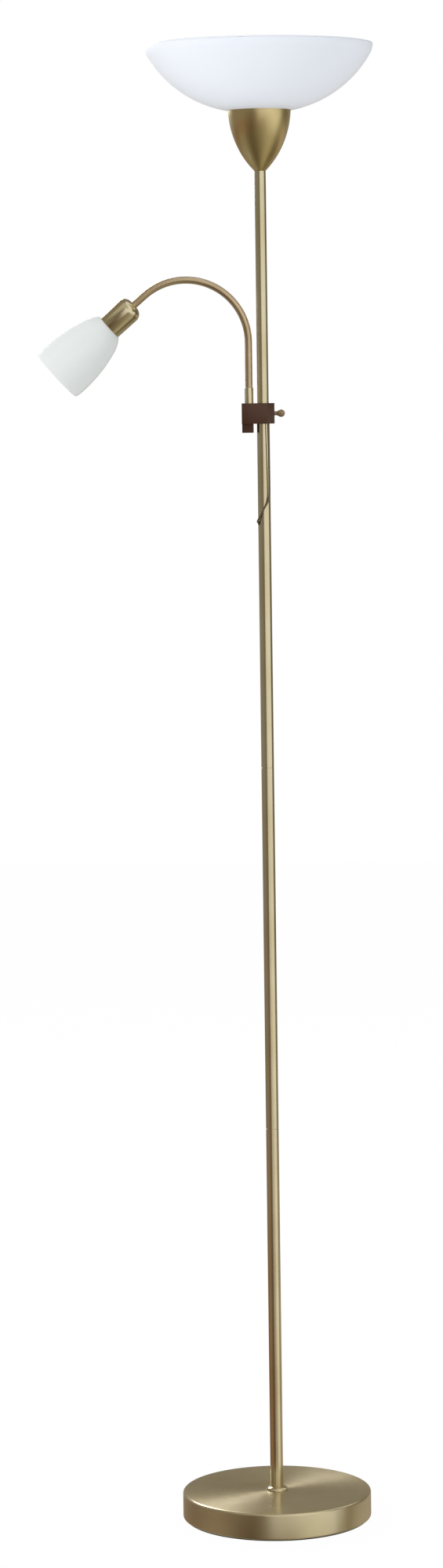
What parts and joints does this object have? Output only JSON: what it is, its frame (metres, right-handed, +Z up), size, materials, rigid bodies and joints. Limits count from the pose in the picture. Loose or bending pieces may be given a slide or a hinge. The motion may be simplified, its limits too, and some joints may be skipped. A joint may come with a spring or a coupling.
{
  "type": "floor lamp",
  "caption": "Torchiere floor lamp with a glass bowl on a slim brass-finish pole, a weighted round foot, and a clamped reading light on a flexible arm.",
  "frame": {"origin": "centre of the foot's underside, on the floor and on the pole's axis", "axes": "+Z up along the pole, the reading arm reaches out along -X, and the front is -Y"},
  "size_m": [0.4173, 0.2798, 1.8032],
  "materials": {
    "finish": "satin",
    "clamp_finish": "satin",
    "arm_finish": "satin",
    "large_glass": "satin",
    "small_glass": "satin",
    "weight_iron": "matte",
    "base_plastic": "matte",
    "steel": "satin",
    "black_plastic": "satin",
    "sleeve_plastic": "matte",
    "holder_plastic": "gloss",
    "insert_ceramic": "matte",
    "contact_brass": "satin",
    "bulb_glass": "satin"
  },
  "bodies": {
    "stand": {"base_cover": "finish", "base_weight": "weight_iron", "base_tray": "base_plastic", "base_washer": "steel", "base_nut": "steel", "base_nipple": "steel", "mains_inlet": "black_plastic", "foot_collar": "finish", "pole_tube_1": "finish", "pole_tube_2": "finish", "pole_tube_3": "finish", "pole_coupler_1": "steel", "pole_coupler_2": "steel", "pole_foot_bush": "steel", "pole_step": "steel", "upper_tube": "finish", "upper_bush": "steel", "cup": "finish", "cup_nipple": "steel", "cup_nut": "steel", "cup_spacer": "steel", "bowl": "large_glass", "uplight_holder": "holder_plastic", "uplight_insert": "insert_ceramic", "uplight_shell": "contact_brass", "uplight_contact": "contact_brass", "uplight_ring": "holder_plastic", "uplight_bulb_cap": "contact_brass", "uplight_bulb_glass": "bulb_glass", "pole_grommet": "black_plastic", "pole_lead": "black_plastic", "reading_cord": "black_plastic"},
    "clamp_sleeve": {"clamp_sleeve": "sleeve_plastic"},
    "arm_clamp": {"clamp_body": "clamp_finish", "arm_ferrule": "finish", "arm_link_1": "arm_finish", "arm_lead": "black_plastic"},
    "clamp_pad": {"screw_pad": "steel"},
    "thumbscrew": {"thumbscrew": "clamp_finish"},
    "arm_2": {"arm_link_2": "arm_finish"},
    "arm_3": {"arm_link_3": "arm_finish"},
    "arm_4": {"arm_link_4": "arm_finish"},
    "arm_5": {"arm_link_5": "arm_finish"},
    "arm_6": {"arm_link_6": "arm_finish"},
    "arm_7": {"arm_link_7": "arm_finish"},
    "arm_8": {"arm_link_8": "arm_finish"},
    "reading_head": {"arm_link_9": "arm_finish", "head_cup": "finish", "head_nipple": "steel", "head_nut": "steel", "reading_holder": "holder_plastic", "reading_insert": "insert_ceramic", "reading_shell": "contact_brass", "reading_contact": "contact_brass", "reading_ring": "holder_plastic", "reading_shade": "small_glass", "reading_bulb_cap": "contact_brass", "reading_bulb_glass": "bulb_glass"}
  },
  "joints": [
    {"name": "clamp_height", "type": "slide", "parent": "stand", "child": "clamp_sleeve", "axis": [0, 0, 1], "range_m": [-0.06, 0], "deforming": ["reading_cord"]},
    {"name": "clamp_swivel", "type": "hinge", "parent": "clamp_sleeve", "child": "arm_clamp", "pos_m": [0, 0, 1.3508], "axis": [0, 0, 1], "range_deg": [-90, 90]},
    {"name": "pad_slide", "type": "slide", "parent": "arm_clamp", "child": "clamp_pad", "axis": [1, 0, 0], "range_m": [0, 0.0016]},
    {"name": "thumbscrew_turn", "type": "hinge", "parent": "clamp_pad", "child": "thumbscrew", "pos_m": [0.0155, 0, 1.35085], "axis": [1, 0, 0], "range_deg": [0, 720]},
    {"name": "arm_bend_1_sideways", "type": "hinge", "parent": "arm_clamp", "child": "arm_2", "pos_m": [-0.017, 0, 1.3959], "axis": [1, 0, 0], "range_deg": [-15, 15], "deforming": ["arm_lead"]},
    {"name": "arm_bend_2", "type": "hinge", "parent": "arm_2", "child": "arm_3", "pos_m": [-0.017, 0, 1.42764], "axis": [0, -1, 0], "range_deg": [-8, 10]},
    {"name": "arm_bend_3", "type": "hinge", "parent": "arm_3", "child": "arm_4", "pos_m": [-0.01981, 0, 1.45912], "axis": [0, -1, 0], "range_deg": [-18, 10]},
    {"name": "arm_bend_4", "type": "hinge", "parent": "arm_4", "child": "arm_5", "pos_m": [-0.03428, 0, 1.48711], "axis": [0, -1, 0], "range_deg": [-18, 10]},
    {"name": "arm_bend_5_sideways", "type": "hinge", "parent": "arm_5", "child": "arm_6", "pos_m": [-0.05876, 0, 1.50696], "axis": [0.4577, 0, 0.8891], "range_deg": [-15, 15]},
    {"name": "arm_bend_6", "type": "hinge", "parent": "arm_6", "child": "arm_7", "pos_m": [-0.08913, 0, 1.51535], "axis": [0, -1, 0], "range_deg": [-18, 10]},
    {"name": "arm_bend_7", "type": "hinge", "parent": "arm_7", "child": "arm_8", "pos_m": [-0.12032, 0, 1.51086], "axis": [0, -1, 0], "range_deg": [-18, 10]},
    {"name": "arm_bend_8", "type": "hinge", "parent": "arm_8", "child": "reading_head", "pos_m": [-0.14716, 0, 1.49432], "axis": [0, -1, 0], "range_deg": [-18, 10]}
  ],
  "couplings": [
    {"joint": "thumbscrew_turn", "follows": "pad_slide", "rad_per_m": 7854}
  ]
}
